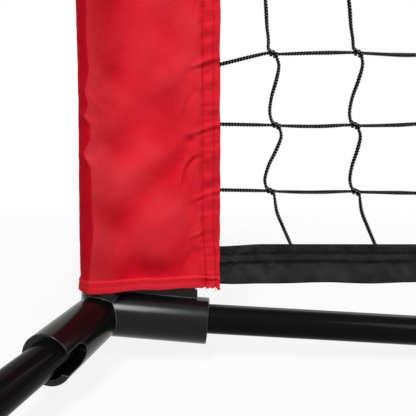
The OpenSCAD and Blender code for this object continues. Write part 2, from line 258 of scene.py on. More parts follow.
def sleeve_cloth():
    """Plain-woven red polyester, with painted sheen on the crowns of the weave in soft patches, painted shade that
    darkens the red in places, and painted shade near black along the stitch rows and on the inside.
    """
    finish = Finish("sleeve_cloth", Specular_IOR_Level=0.02)
    across, up = finish.cloth_place()
    pitch = 2 * math.pi / (1.75 * MM)
    weave = (across * pitch).sine() * (up * pitch).sine() * 0.5 + 0.5
    yarn = finish.noise(900.0, 2.0, 0.6, (1.0, 1.0, 0.05))
    cloudy = finish.noise(20.0, 3.0, 0.5)
    # painted sheen: how much the weave's crowns are painted pale, read from a mark on the mesh
    sheen_amount = finish.mark("painted_sheen") * (cloudy * 0.5 + 0.75)
    deep = finish.mix(cloudy.above(0.3, 0.7), (0.52, 0.002, 0.012, 1), (0.68, 0.005, 0.018, 1))
    thread = finish.mix(weave * 0.3 + yarn * 0.12, deep, (0.84, 0.012, 0.026, 1))
    # painted shade: the red is darkened where a mark on the mesh asks, on the parts turned from the light
    with_shade = finish.mix(finish.mark("worn"), thread, (0.36, 0.003, 0.012, 1))
    crown = (weave * 1.15 + yarn * 0.12 - 0.14) * sheen_amount
    with_sheen = finish.mix(crown.above(0.0, 1.0), with_shade, (0.8, 0.058, 0.07, 1))
    # painted shade: near black along the stitch rows and on the inside of the sleeve
    finish.set(
        Base_Color=finish.mix(finish.mark("painted_shade"), with_sheen, (0.16, 0.0008, 0.005, 1)),
        Roughness=weave * 0.12 + 0.5,
    )
    return finish.bumped(weave + yarn * 0.2, 0.16 * MM)


def stitch_thread(name, colour):
    """Sewing thread: the twist of its strands darkens it here and there."""
    finish = Finish(name, Specular_IOR_Level=0.15)
    twist = finish.noise(3000.0, 2.0)
    shaded = tuple(part * 0.55 for part in colour[:3]) + (1,)
    finish.set(Base_Color=finish.mix(twist, colour, shaded), Roughness=twist * 0.2 + 0.5)
    return finish.bumped(twist, 0.1 * MM)


def net_twine():
    """Braided black twine: raised yarns are painted as pale flecks, a painted highlight, and the gaps between them
    stay black.
    """
    finish = Finish("net_twine", Specular_IOR_Level=0.04)
    raised = finish.mark("raised")
    uneven = finish.noise(700.0, 3.0, 0.7)
    # painted highlight: pale flecks on the raised yarns
    fleck = raised.above(0.45, 1.0) * uneven.above(0.2, 0.5)
    finish.set(
        Base_Color=finish.mix(fleck, grey(0.001), grey(0.26)),
        Roughness=uneven * 0.2 + 0.5,
    )
    return finish.bumped(uneven, 0.25 * MM)


def tape_webbing():
    """Charcoal woven tape: a fine diagonal weave with random paler patches, painted highlights on its creases, and
    painted shade along its sunk rows of black stitches and its edge.
    """
    finish = Finish("tape_webbing", Specular_IOR_Level=0.08)
    along, up = finish.cloth_place()
    pitch = 2 * math.pi / (2.3 * MM)
    twill = (along * pitch).sine() * (up * pitch).sine() * 0.5 + 0.5
    patch = finish.noise(75.0, 4.0, 0.65).above(0.36, 0.66)
    # random paler patches, and painted highlights on the creases, shown on the weave's crowns
    worn = (finish.mark("painted_sheen") + patch * 0.6 + 0.2) * (twill * 1.3 - 0.25)
    shade = finish.mix(worn.above(0.0, 1.0), grey(0.0015), grey(0.05))
    # painted shade along the stitch rows and at the edge
    finish.set(
        Base_Color=finish.mix(finish.mark("painted_shade"), shade, grey(0.001)),
        Roughness=twill * 0.1 + 0.6,
    )
    return finish.bumped(twill, 0.12 * MM)


CONNECTOR = moulded_plastic("connector_plastic", 0.003, 0.23, 0.02, 0.2)
TUBE = gloss_tube()
RUBBER = foot_rubber()
JOINT = moulded_plastic("joint_plastic", 0.012, 0.42, 0.6, 0.3)
CAP = moulded_plastic("cap_plastic", 0.014, 0.45, 0.7, 0.3)
BUTTON = plated_steel("button_steel", 0.55, 0.22)
SPRING = plated_steel("spring_steel", 0.32, 0.3)
CLOTH = sleeve_cloth()
RED_THREAD = stitch_thread("red_thread", (0.46, 0.0035, 0.017, 1))
BLACK_THREAD = stitch_thread("black_thread", (0.006, 0.006, 0.006, 1))
TWINE = net_twine()
WEBBING = tape_webbing()

# The finish of each kind of solid, by the start of its node's name. The longest start that fits counts.
FINISH_OF = {
    "connector": CONNECTOR, "leg_tube": TUBE, "rail_tube": TUBE, "pole_cap": CAP, "pole": TUBE,
    "foot_cap": RUBBER, "rail_joint": JOINT, "snap_button": BUTTON, "button_spring": SPRING,
}

for node_name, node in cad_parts.items():
    kinds = [kind for kind in FINISH_OF if node_name.startswith(kind)]
    if kinds:
        node.data.materials.clear()
        node.data.materials.append(FINISH_OF[max(kinds, key=len)])

# ---- mesh helpers ----

SIDES = 6  # of a thread or a twine


def make_piece(name, points, faces, material, body, marks=None, cloth=None):
    """A mesh object from arrays: marks are numbers a point, cloth is a (round, up) place a point."""
    mesh = bpy.data.meshes.new(name)
    mesh.from_pydata(points.reshape(-1, 3).tolist(), [], faces.tolist())
    for key, values in (marks or {}).items():
        mesh.attributes.new(key, "FLOAT", "POINT").data.foreach_set("value", values.ravel().astype(np.float32))
    if cloth is not None:
        corner = np.zeros(len(mesh.loops), np.int32)
        mesh.loops.foreach_get("vertex_index", corner)
        layer = mesh.uv_layers.new(name="cloth")
        layer.data.foreach_set("uv", cloth.reshape(-1, 2)[corner].astype(np.float32).ravel())
    mesh.polygons.foreach_set("use_smooth", np.ones(len(mesh.polygons), bool))
    mesh.materials.append(material)
    piece = bpy.data.objects.new(name, mesh)
    bpy.context.scene.collection.objects.link(piece)
    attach(piece, body)
    return piece


def grid_faces(rows, columns, first=0, closed=False):
    """Quads over a grid of points that are numbered row by row. closed joins the last column to the first."""
    a = np.arange(rows - 1)[:, None] * columns
    b = np.arange(columns if closed else columns - 1)[None, :]
    c = (b + 1) % columns
    quads = np.stack([a + b, a + c, a + c + columns, a + b + columns], axis=-1)
    return quads.reshape(-1, 4) + first


def shell_faces(rows, columns):
    """Quads of a thin closed sheet: a front grid, a back grid after it, and the rim between them."""
    back = rows * columns
    front = grid_faces(rows, columns)
    behind = grid_faces(rows, columns, back)[:, ::-1]
    k = np.arange(columns - 1)
    top = (rows - 1) * columns + k
    left = np.arange(rows - 1) * columns
    right = left + columns - 1
    rims = [
        np.stack([k, back + k, back + k + 1, k + 1], -1),
        np.stack([top, top + 1, back + top + 1, back + top], -1),
        np.stack([left, left + columns, back + left + columns, back + left], -1),
        np.stack([right, back + right, back + right + columns, right + columns], -1),
    ]
    return np.concatenate([front, behind] + rims)


def normals_of(grid):
    """Unit normals of a grid of points."""
    along = np.gradient(grid, axis=1)
    up = np.gradient(grid, axis=0)
    normal = np.cross(along, up)
    return normal / np.maximum(np.linalg.norm(normal, axis=-1, keepdims=True), 1e-12)


def wave_noise(x, z, size, seed, octaves):
    """Smooth noise of about -1 to 1 over a plane, from a few turned waves whose sizes halve."""
    rng = np.random.default_rng(seed)
    total = np.zeros(np.broadcast(x, z).shape)
    for octave in range(octaves):
        for _ in range(5):
            turn = rng.uniform(0, math.pi)
            phase = rng.uniform(0, 2 * math.pi)
            k = 2 * math.pi / size * 2**octave * rng.uniform(0.7, 1.3)
            wave = np.sin(k * (x * math.cos(turn) + z * math.sin(turn)) + phase)
            total = total + wave / 2**octave
    return total / 3.2


def smooth_step(value, low, high):
    """0 below low, 1 above high and smooth between them."""
    t = np.clip((value - low) / (high - low), 0, 1)
    return t * t * (3 - 2 * t)


def ridge(distance, width):
    """1 on a line, falling off to nothing within about twice the width."""
    return np.exp(-((distance / width) ** 2))


def reach_of(steps):
    """How far along a line each of its points lies, from the lengths of its steps."""
    return np.concatenate([[0], np.cumsum(steps)])


def read_off(at, reach, values):
    """A line's points or normals, read off at other distances along it."""
    return np.stack([np.interp(at, reach, values[:, k]) for k in range(3)], -1)


def tubes(paths, radii, braid=0.0):
    """Points, faces and raised marks of tubes along paths. A braid lifts every third ring, bent to a chevron."""
    points, faces, marks = [], [], []
    first = 0
    turn = np.arange(SIDES) * 2 * math.pi / SIDES - math.pi / 2
    from_front = np.minimum(np.arange(SIDES), SIDES - np.arange(SIDES))
    for path, radius in zip(paths, radii):
        tangent = np.gradient(path, axis=0)
        tangent /= np.linalg.norm(tangent, axis=1, keepdims=True)
        side = np.cross(tangent, (0.0, 1.0, 0.0))
        side /= np.linalg.norm(side, axis=1, keepdims=True)
        front = np.cross(side, tangent)
        count = len(path)
        raised = (np.arange(count)[:, None] + from_front[None, :]) % 3 == 0
        reach = np.broadcast_to(radius, count)[:, None] * (1 + braid * (2.0 * raised - 0.7))
        ring = (
            path[:, None, :]
            + (reach * np.cos(turn))[:, :, None] * side[:, None, :]
            + (reach * np.sin(turn))[:, :, None] * front[:, None, :]
        )
        points.append(ring.reshape(-1, 3))
        marks.append(raised.ravel())
        faces.append(grid_faces(count, SIDES, first, closed=True))
        first += count * SIDES
    return np.concatenate(points), np.concatenate(faces), np.concatenate(marks).astype(float)


def stitches(name, runs, pitch, material, body, thick, gap=0.35, upright=False):
    """One piece for rows of stitches. A run is a line of points on the cloth and the cloth's outward normals.
    The stitches of an upright row are spaced by height, to stay between the needle marks in the cloth."""
    # the rings of one stitch: where along it, how far out and how wide, as shares of its length and thickness
    rings = np.array([-0.5, -0.3, 0.0, 0.3, 0.5])
    lift = np.array([-0.9, 0.35, 0.8, 0.35, -0.9])
    swell = np.array([0.4, 1.0, 1.0, 1.0, 0.4])
    beside = 0.05 * MM
    turn = np.arange(SIDES) * 2 * math.pi / SIDES
    points, faces = [], []
    first = 0
    for line, outward in runs:
        steps = np.diff(line[:, 2]) if upright else np.linalg.norm(np.diff(line, axis=0), axis=1)
        reach = reach_of(steps)
        middles = np.arange(pitch / 2, reach[-1], pitch)
        at = middles[:, None] + rings[None, :] * pitch * (1 - gap)
        centre = read_off(at, reach, line)
        normal = read_off(at, reach, outward)
        normal /= np.linalg.norm(normal, axis=-1, keepdims=True)
        along = read_off(at + beside, reach, line) - read_off(at - beside, reach, line)
        along /= np.maximum(np.linalg.norm(along, axis=-1, keepdims=True), 1e-12)
        side = np.cross(along, normal)
        centre = centre + normal * (lift * thick)[None, :, None]
        size = (swell * thick)[None, :, None, None]
        ring = centre[:, :, None, :] + size * (
            np.cos(turn)[:, None] * side[:, :, None, :] + np.sin(turn)[:, None] * normal[:, :, None, :]
        )
        points.append(ring.reshape(-1, 3))
        for _ in middles:
            faces.append(grid_faces(len(rings), SIDES, first, closed=True))
            first += len(rings) * SIDES
    return make_piece(name, np.concatenate(points), np.concatenate(faces), material, body)


# ---- net layout: the frame's pattern of knots, with the rows that have slipped along since ----

COLUMNS, ROWS = 23, 11
MESH_W, MESH_H = 68.5 * MM, 56 * MM
LOW_GAP = 44 * MM
LEAN = 17 * MM
SCATTER = 2 * MM
ROW_SLIP = (0, 0, 0, -12.5, -9, -5, -2, 0, 1, 0, 0)  # mm along the row, from the lowest row up
STAGGERED_ROW, STAGGER = 2, 3.2 * MM


def knot_place(i, j):
    """x and z of the knot in column i and row j, each counted from the left end and from the bottom."""
    x = (i - (COLUMNS - 1) / 2) * MESH_W + SCATTER * math.sin(math.radians(137 * i + 211 * j + 250))
    if j == STAGGERED_ROW and i % 2 == 1:
        x = x - STAGGER
    x = x + ROW_SLIP[j] * MM
    z = tape_high.z + LOW_GAP + j * MESH_H + 0.6 * SCATTER * math.sin(math.radians(97 * i + 163 * j + 60))
    return x, z


def drawn_down(j):
    """Every third row comes out of the sleeves a little lower than its knots."""
    return j % 3 == 2


# ---- sleeves ----

POCKET = 86 * MM  # from the pole's axis to where the two walls meet
HEM = 9.7 * MM
HEM_ROW = 6.0 * MM
SEAMS = (85.7 * MM, 94.3 * MM)
STITCH = 4.3 * MM
SEW_START = 3.375 * STITCH
CLOTH_THICK = 0.7 * MM
MARGIN_HALF = 1.25 * MM  # half the thickness of the sewn margin
SEWING = 0.2 * MM  # half the thickness of the red thread


def seam_drift(z):
    """How far the two seam rows bend away from the pole near the hem."""
    return 2.0 * MM * (1 - smooth_step(z, 10 * MM, 60 * MM))


def needle_beat(z):
    """1 where the needle went in, -1 halfway between."""
    return np.cos(2 * math.pi * (z - SEW_START) / STITCH)


def nose_radius(z):
    """Radius of the sleeve round its pole: wide over the socket, close on the pole above it, flared at the hem."""
    over_socket = 1 - smooth_step(z, 20 * MM, 190 * MM)
    flare = 1 - smooth_step(z, 0, 16 * MM)
    return 15.3 * MM + 2.6 * MM * over_socket + 0.9 * MM * flare


def sleeve_outline():
    """Where each column of the sleeve's grid lies, from the front edge to the rear edge: x on the walls, the angle
    round the pole on the nose, and the side: -1 for the front wall, 0 for the nose, 1 for the rear wall."""
    margin = np.linspace(SEAM_END, POCKET, 29)[:-1]
    dense_from = 76 * MM
    wall = np.concatenate([np.linspace(POCKET, dense_from, 19)[:-1], np.linspace(dense_from, 0, 64)])
    nose = np.linspace(90, 270, 61)[1:-1]
    flat = np.ones(len(margin) + len(wall))
    x = np.concatenate([margin, wall, np.zeros(len(nose)), wall[::-1], margin[::-1]])
    angle = np.concatenate([90.0 * flat, nose, 270.0 * flat])
    side = np.concatenate([-flat, np.zeros(len(nose)), flat])
    return x, np.radians(angle), side


def soft_dent(mm, z, place, size):
    """A round hollow or swelling, 1 at its middle."""
    return np.exp(-((mm - place[0]) ** 2 + (z / MM - place[1]) ** 2) / (size * size))


def cord_folds(mm, z, row_z, count, seed):
    """What one level twine does to a wall: a ridge over the cord, a slack fold running down from it, a curved
    pucker under it."""
    rng = np.random.default_rng(seed + count)
    # how hard this twine pulls, and the slack fold with the hollow under it
    pull = (0.25, 1.0, 0.4, 0.15, 0.7)[count % 5]
    drop, bend = rng.uniform(40, 60) * MM, rng.uniform(0.8, 1.25)
    away = np.clip((84 - mm) / 74, 0, 1.3)
    fold_z = row_z - drop * away**bend
    wide = (8 + 9 * away) * MM
    fade = 1 - 0.5 * smooth_step(away, 0.5, 1.1)
    on_wall = smooth_step(mm, 2, 22) * (1 - smooth_step(mm, 66, 84))
    strong = (1.3 + 1.6 * away) * fade * on_wall * (0.6 + 0.4 * pull)
    out = strong * (0.9 * ridge(z - fold_z, wide) - 0.8 * pull * ridge(z - fold_z + 1.9 * wide, wide))
    # the end of the twine, raised through the margin, and the dip under it
    cord_z = row_z - 4.4 * MM * np.clip((97 - mm) / 14, 0, 2.4) ** 1.2
    reach = smooth_step(mm, 72, 84)
    out = out + 1.35 * ridge(z - cord_z, 1.7 * MM) * reach - 0.7 * ridge(z - cord_z + 3.4 * MM, 1.5 * MM) * reach
    # the curved pucker, with a lip on the side of the pole
    t = np.clip((row_z - 26 * MM - z) / (25.5 * MM), 0, 1)
    arc_x = 83 - 13 * np.sqrt(np.clip(1 - (1 - t) ** 2, 0, 1))
    lean = 0.5 * (1 - t) / np.sqrt(np.clip(1 - (1 - t) ** 2, 0.02, 1))
    from_arc = (mm - arc_x) / np.sqrt(1 + lean**2)
    ends = smooth_step(row_z - z, 24 * MM, 28 * MM) * (1 - smooth_step(row_z - z, 46 * MM, 53 * MM))
    out = out - 2.2 * pull**1.5 * ends * (ridge(from_arc, 1.6) - 0.5 * ridge(from_arc + 3.0, 2.0))
    # a small hollow beside the seam, and an upright crease next to it
    hollow = rng.uniform(72, 79)
    out = out - 2.4 * pull * soft_dent(mm, z, (hollow, row_z / MM - 12.5), 3.8)
    upright = ridge(mm - 79.4 - 0.8 * np.sin(z / (9 * MM)), 1.2)
    within = smooth_step(row_z - z, 10 * MM, 14 * MM) * (1 - smooth_step(row_z - z, 26 * MM, 32 * MM))
    return out - 0.8 * (1.2 - pull) * upright * within


def seam_relief(x, z, seed, tape_top_z):
    """The two seam rows sink in; the cloth puffs up between and beside them, and swells over the tape."""
    in_seam = smooth_step(x / MM, 81, 86)
    drift = seam_drift(z)
    out = 0.0
    for seam in SEAMS:
        pucker = 1.2 * wave_noise(x * 0.3, z, 9 * MM, seed + 3, 2) - 0.35 * needle_beat(z)
        out = out - 0.7 * ridge(x - seam - drift, 0.9 * MM) + 0.35 * pucker * ridge(x - seam - drift, 3.2 * MM)
    between = ridge(x - 90 * MM - drift, 3.0 * MM)
    out = out + (0.25 + 0.75 * wave_noise(x * 0, z, 10 * MM, seed + 5, 2)) * between
    out = out + in_seam * 0.55 * wave_noise(x * 0.5, z, 14 * MM, seed + 4, 2)
    out = out + 0.9 * in_seam * (1 - smooth_step(z, tape_top_z - 1.0 * MM, tape_top_z + 0.8 * MM))
    return out - 1.1 * in_seam * ridge(z - tape_top_z - 0.6 * MM, 1.0 * MM)


def front_relief(x, z, seed, twine_z, tape_top_z):
    """How far the cloth of one wall stands out, over x from the pole and z from the hem. mm is x in
    millimetres, and so are the depths, up to the last line."""
    mm = x / MM
    # slow waves over the loose middle, and a slight unevenness all over
    loose = smooth_step(mm, -6, 18) * (1 - smooth_step(mm, 78, 86)) * smooth_step(z, 8 * MM, 30 * MM)
    out = 1.3 * wave_noise(x, z * 0.7, 62 * MM, seed, 2) * loose
    out = out + 0.14 * wave_noise(x, z, 14 * MM, seed + 1, 2)
    for count, row_z in enumerate(twine_z):
        out = out + cord_folds(mm, z, row_z, count, seed + 200)
    out = out + seam_relief(x, z, seed, tape_top_z)
    # a crease above the tape's end, and a dent below it
    crease_z = tape_top_z + 7 * MM + 0.35 * (x - 75 * MM)
    out = out + 1.3 * ridge(z - crease_z, 1.0 * MM) * smooth_step(mm, 73, 77) * (1 - smooth_step(mm, 83, 86))
    out = out - 1.6 * soft_dent(mm, z, (81, 30), 5.0)
    # the wall draws in over the socket
    tuck = 3.2 * (1 - smooth_step(z, 12 * MM, 34 * MM)) + 3.0 * (1 - smooth_step(z, 8 * MM, 66 * MM))
    tuck = tuck * smooth_step(mm, 9, 26) * (1 - smooth_step(mm, 72, 87))
    out = out - tuck * (0.8 + 0.2 * wave_noise(x, z * 0, 40 * MM, seed + 6, 1))
    # short slanting buckles that start on the packing crease, and the dents round them
    for start_x, start_z, run in ((-7, 111, 18), (-5, 143, 14), (-4, 160, 26)):
        along = (mm - start_x) * 0.62 + (start_z - z / MM) * 0.78
        across = (mm - start_x) * 0.78 - (start_z - z / MM) * 0.62
        within = smooth_step(along, -1, 3) * (1 - smooth_step(along, run * 0.4, run))
        out = out + 1.0 * within * np.exp(-np.abs(across) / 2.0)
    for place, size, deep in (((5, 122), 7, 1.2), ((-2, 134), 4.5, 1.0), ((14, 172), 8, 0.9), ((20, 88), 9, 0.6)):
        out = out - deep * soft_dent(mm, z, place, size)
    # the swelling along the seam, and a broad one low on the wall
    out = out + 1.1 * smooth_step(mm, 58, 70) * (1 - smooth_step(mm, 81, 86))
    out = out + 3.6 * soft_dent(mm, z, (50, 42), 25) * smooth_step(mm, 2, 20) * (1 - smooth_step(mm, 66, 84))
    # near the seam the two walls lie close together, and neither may sink through the other
    deepest = 0.85 + 5.65 * (1 - smooth_step(mm, 58, 80))
    return np.maximum(out, -deepest) * MM


def packing_line(z, seed):
    """Where the edge along which the sleeve was folded flat runs: down the outer front of the pole, with small
    buckles where it turns."""
    rng = np.random.default_rng(seed + 40)
    line_x = -2.6 * MM + 0.8 * MM * wave_noise(z, z * 0, 90 * MM, seed + 41, 2)
    line_x = line_x - 3.2 * MM * (1 - smooth_step(z, 5 * MM, 60 * MM))
    buckles = [(113, -5.5, 7.0), (143, -4.5, 5.0), (163, -3.0, 9.0)]
    buckles += [(z0 + rng.uniform(-20, 20), rng.uniform(-4, 4), rng.uniform(4, 8)) for z0 in range(240, 720, 70)]
    for z0, shift, wide in buckles:
        t = np.clip(1 - np.abs(z - z0 * MM) / (wide * MM * 1.6), 0, 1)
        line_x = line_x + shift * MM * t
    return line_x


def packing_crease(x, y, z, seed):
    """The sharp crest of that edge."""
    away = np.sqrt((x - packing_line(z, seed)) ** 2 + (0.5 * MM) ** 2) - 0.5 * MM
    crest = 2.0 * np.exp(-away / (5.0 * MM))
    return np.where(y < 0, crest, 0) * MM * smooth_step(-y, 2 * MM, 9 * MM)


def sheen_and_shade(x, z, relief, seed):
    """How much painted sheen the cloth gets: from the packing crease on, most on the crests, least near the hem, in
    soft slanting patches. Also how much painted shade darkens it: on the wall beside the crease, and less on the
    strip before it."""
    from_line = x - packing_line(z, seed)
    beyond = smooth_step(from_line, -0.5 * MM, 0.7 * MM)
    slant = 0.5 + 0.5 * wave_noise(z + 0.6 * x, 0.25 * x, 60 * MM, seed + 8, 3)
    crest = np.clip(0.5 + relief / (5 * MM), 0, 1)
    by_line = 0.08 * (1 - smooth_step(from_line, 3 * MM, 18 * MM))
    # painted sheen, strongest on the crests of the folds
    sheen_amount = beyond * (0.15 + 0.35 * slant + 0.5 * crest + by_line)
    # painted shade: less sheen low on the wall, where it is drawn in over the socket
    shaded_low = smooth_step(from_line, 14 * MM, 34 * MM) * (1 - smooth_step(x, 62 * MM, 76 * MM))
    sheen_amount = sheen_amount * (1 - 0.65 * shaded_low * (1 - smooth_step(z, 14 * MM, 52 * MM)))
    # painted shade: the red is darkened on the wall beside the crease and on the strip turned from the light
    worn = 0.8 * beyond * (1 - smooth_step(from_line, 4 * MM, 38 * MM)) + 0.45 * (1 - beyond) * (x < 20 * MM)
    return np.clip(sheen_amount, 0, 1), worn


def hem_relief(z):
    """The folded hem stands out by one layer of cloth, with a round upper edge and a sunk stitch row."""
    fold = 0.75 * smooth_step(HEM + 0.5 * MM - z, 0, 0.7 * MM) + 0.25 * ridge(z - HEM + 0.7 * MM, 0.6 * MM)
    return (fold - 0.35 * ridge(z - HEM_ROW, 0.7 * MM)) * MM


def sleeve_base():
    """The sleeve before any fold, in its own frame: the x and z of the grid it is cut on, the side of each point
    and the points of its surface."""
    x, angle, side = sleeve_outline()
    step = STITCH / 3
    rows_up = np.arange(SEW_START, SLEEVE_H - 0.6 * step, step)
    z = np.concatenate([np.linspace(0, SEW_START, 19)[:-1], rows_up, [SLEEVE_H]])
    X, Z = np.meshgrid(x, z)
    A = np.broadcast_to(angle, X.shape)
    S = np.broadcast_to(side, X.shape)
    r = nose_radius(Z)
    lean = np.arcsin((r - MARGIN_HALF) / POCKET)
    turned = np.pi + (A - np.pi) * (math.pi / 2 + lean) / (math.pi / 2)
    touch_x, touch_y = r * np.sin(lean), r * np.cos(lean)
    share = np.clip(X / POCKET, 0, 1)
    wall_x = touch_x + (POCKET - touch_x) * share
    wall_y = touch_y + (MARGIN_HALF - touch_y) * share + 1.6 * MM * np.sin(math.pi * share) ** 1.5
    on_nose, margin = S == 0, X > POCKET
    base_x = np.where(on_nose, r * np.cos(turned), np.where(margin, X, wall_x))
    base_y = np.where(on_nose, -r * np.sin(turned), S * np.where(margin, MARGIN_HALF, wall_y))
    return X, Z, S, np.stack([base_x, base_y, Z], -1)


def sleeve_relief(base, S, mirror, seed, rear_seed):
    """How far the cloth stands out from that surface: folds and puckers of both walls, packing crease and hem."""
    x, y, z = np.moveaxis(base, -1, 0)
    end_column = COLUMNS - 1 if mirror else 0
    twine_z = [knot_place(end_column, j)[1] - SLEEVE_Z - (4 * MM if drawn_down(j) else 0) for j in range(ROWS)]
    tape_top_z = tape_high.z - SLEEVE_Z
    front = front_relief(x, z, seed, twine_z, tape_top_z)
    rear = front_relief(x, z, rear_seed, twine_z, tape_top_z)
    blend = smooth_step(y, -4 * MM, 4 * MM)
    relief = np.where(S < 0, front, np.where(S > 0, rear, front * (1 - blend) + rear * blend))
    return relief + packing_crease(x, y, z, seed) + hem_relief(z)


def ragged_edges(outer, X, Z, base, seed):
    """Moves the points of the cut side edge and of the hem, so that neither runs quite straight."""
    edge_wave = 0.35 * MM * wave_noise(Z, Z * 0, 23 * MM, seed + 9, 2)
    outer[..., 0] += np.where(X > POCKET, edge_wave * smooth_step(X, POCKET, SEAM_END), 0)
    hem_wave = 0.5 * MM * wave_noise(base[..., 0], base[..., 1], 40 * MM, seed + 5, 2)
    frayed = 1.3 * MM * wave_noise(X, X * 0, 9 * MM, seed + 6, 2) - 1.5 * MM * smooth_step(X, 88 * MM, 99 * MM)
    hem_wave = hem_wave + frayed * smooth_step(X, 83 * MM, 88 * MM)
    outer[..., 2] += hem_wave * (1 - smooth_step(Z, 0, 20 * MM))


def sleeve_marks(X, Z, x, relief, seed):
    """What the cloth's finish reads: painted shade along the stitch rows and on the inside, painted sheen, and the
    painted shade that darkens the red.
    """
    # painted shade in the needle holes and along the sunk stitch rows
    needle = 0.4 + 0.6 * needle_beat(Z)
    sewn = sum(ridge(X - seam - seam_drift(Z), 0.6 * MM) for seam in SEAMS) * needle
    sewn = sewn + 0.5 * ridge(Z - HEM_ROW, 0.45 * MM)
    painted_sheen, worn = sheen_and_shade(x, Z, relief, seed)
    in_hem = smooth_step(HEM + 0.5 * MM - Z, 0, 0.5 * MM)
    # painted sheen on the sewn margin, and more on the hem, which faces up to the light
    painted_sheen = np.where(X > 84 * MM, 0.5, painted_sheen * (1 - in_hem) + 0.6 * in_hem)
    worn = worn * (1 - in_hem)
    # painted shade: the inside of the sleeve is painted near black
    inside = np.ones(X.shape)
    return {
        "painted_shade": np.stack([0.42 * np.clip(sewn, 0, 1), inside]),
        "painted_sheen": np.stack([painted_sheen, painted_sheen]),
        "worn": np.stack([worn, worn]),
    }


def make_sleeve(side_name, mirror, seeds):
    X, Z, S, base = sleeve_base()
    outward = -normals_of(base)
    relief = sleeve_relief(base, S, mirror, *seeds)
    outer = base + outward * relief[..., None]
    ragged_edges(outer, X, Z, base, seeds[0])
    hem_bulk = 0.5 * smooth_step(HEM - Z, 0, 0.5 * MM) * MM
    inner = outer - outward * (CLOTH_THICK + hem_bulk)[..., None]
    steps = np.linalg.norm(np.diff(base, axis=1), axis=-1)
    round_it = np.concatenate([np.zeros((len(Z), 1)), np.cumsum(steps, axis=1)], axis=1)
    cloth = np.stack([round_it, Z], -1)
    inward = -1 if mirror else 1

    def placed(local):
        """From the sleeve's own frame to the object's: the pole's axis is at POLE_X on that end."""
        moved = local.copy()
        moved[..., 0] = (local[..., 0] - POLE_X) * inward
        moved[..., 2] = local[..., 2] + SLEEVE_Z
        return moved

    def placed_run(line, normal):
        turned = normal.copy()
        turned[..., 0] *= inward
        return placed(line), turned

    def seam_run(seam, side):
        """A line up the sleeve along a seam, on the front wall or the rear wall."""
        column = int(np.argmin(np.abs(X[0] - seam) + (S[0] != side)))
        line = outer[:, column].copy()
        line[:, 0] += seam - X[0, column] + seam_drift(line[:, 2])
        first = int(np.searchsorted(Z[:, 0], SEW_START - 3 * STITCH - 0.01 * MM))
        return placed_run(line[first:-3], outward[first:-3, column])

    faces = shell_faces(*X.shape)
    piece = make_piece(
        f"sleeve_cloth_{side_name}", placed(np.stack([outer, inner])), faces if mirror else faces[:, ::-1], CLOTH,
        "net", sleeve_marks(X, Z, base[..., 0], relief, seeds[0]), np.stack([cloth, cloth]),
    )
    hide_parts(f"sleeve_{side_name}")
    runs = [seam_run(seam, side) for seam in SEAMS for side in (-1, 1)]
    seams = stitches(
        f"seam_stitches_{side_name}", runs, STITCH, RED_THREAD, "net", SEWING, gap=0.3, upright=True,
    )
    level = int(np.argmin(np.abs(Z[:, 0] - HEM_ROW)))
    hem_run = placed_run(outer[level, 2:-2], outward[level, 2:-2])
    hem = stitches(f"hem_stitches_{side_name}", [hem_run], 3.2 * MM, RED_THREAD, "net", SEWING)
    frays = thread_ends(side_name, placed, seeds[0])
    cap = sleeve_cap(side_name, outer[-1], placed, mirror)


def thread_ends(side_name, placed, seed):
    """Loose ends of thread at the lower corner."""
    rng = np.random.default_rng(seed)
    # where each starts, how long it is and how far it leans, in mm
    loose = ((87.5, 3.2, 0.4), (95.5, 4.2, 1.2), (98.8, 3.4, 2.4), (99.2, 2.2, 1.8), (89.0, 2.0, -0.5))
    ends = []
    for start_x, length, lean in loose:
        t = np.linspace(0, 1, 9)[:, None]
        start = np.array([start_x, -1.6, 0.8]) * MM
        away = np.array([lean * 0.6, -0.3, -length * 0.8]) * MM
        curl = np.array([0.5, 0.4, 0.0]) * MM * rng.uniform(0.5, 1.2)
        ends.append(placed(start + away * t + curl * np.sin(3 * t)))
    points, faces, _ = tubes(ends, [SEWING] * len(ends))
    return make_piece(f"thread_ends_{side_name}", points, faces, RED_THREAD, "net")


def sleeve_cap(side_name, rim, placed, mirror):
    """The closed end at the top: a narrow panel sewn between the two walls, slightly crowned over the pole cap."""
    half = (len(rim) + 1) // 2
    across = np.linspace(0, 1, 9)[None, :]
    near, far = rim[:half, None], rim[::-1][:half, None]
    grid = near * (1 - across[..., None]) + far * across[..., None]
    tip, crown = 0.2 * MM, 0.5 * MM  # its width where the walls meet on the nose, and its rise
    grid[-1, :, 1] += (across[0] - 0.5) * tip
    wide = np.linalg.norm(far - near, axis=-1)
    grid[..., 2] += crown * np.sin(math.pi * across) * smooth_step(wide, 0, 24 * MM)
    cloth = grid[..., :2].copy()
    faces = grid_faces(*grid.shape[:2])
    if mirror:
        faces = faces[:, ::-1]
    plain = np.zeros(grid.shape[:2])
    marks = {"painted_shade": plain, "painted_sheen": plain, "worn": plain}
    return make_piece(f"sleeve_top_{side_name}", placed(grid), faces, CLOTH, "net", marks, cloth)


# ---- net ----

TWINE_R = 1.3 * MM
WRAP_R = 1.35 * MM
RING_STEP = 0.82 * MM
SPAN_POINTS = 14  # of the smooth line between two of the points that it runs through


def resample(path):
    """The same line with evenly spaced points, one for each ring of the braid."""
    reach = reach_of(np.linalg.norm(np.diff(path, axis=0), axis=1))
    return read_off(np.linspace(0, reach[-1], int(reach[-1] / RING_STEP) + 1), reach, path)


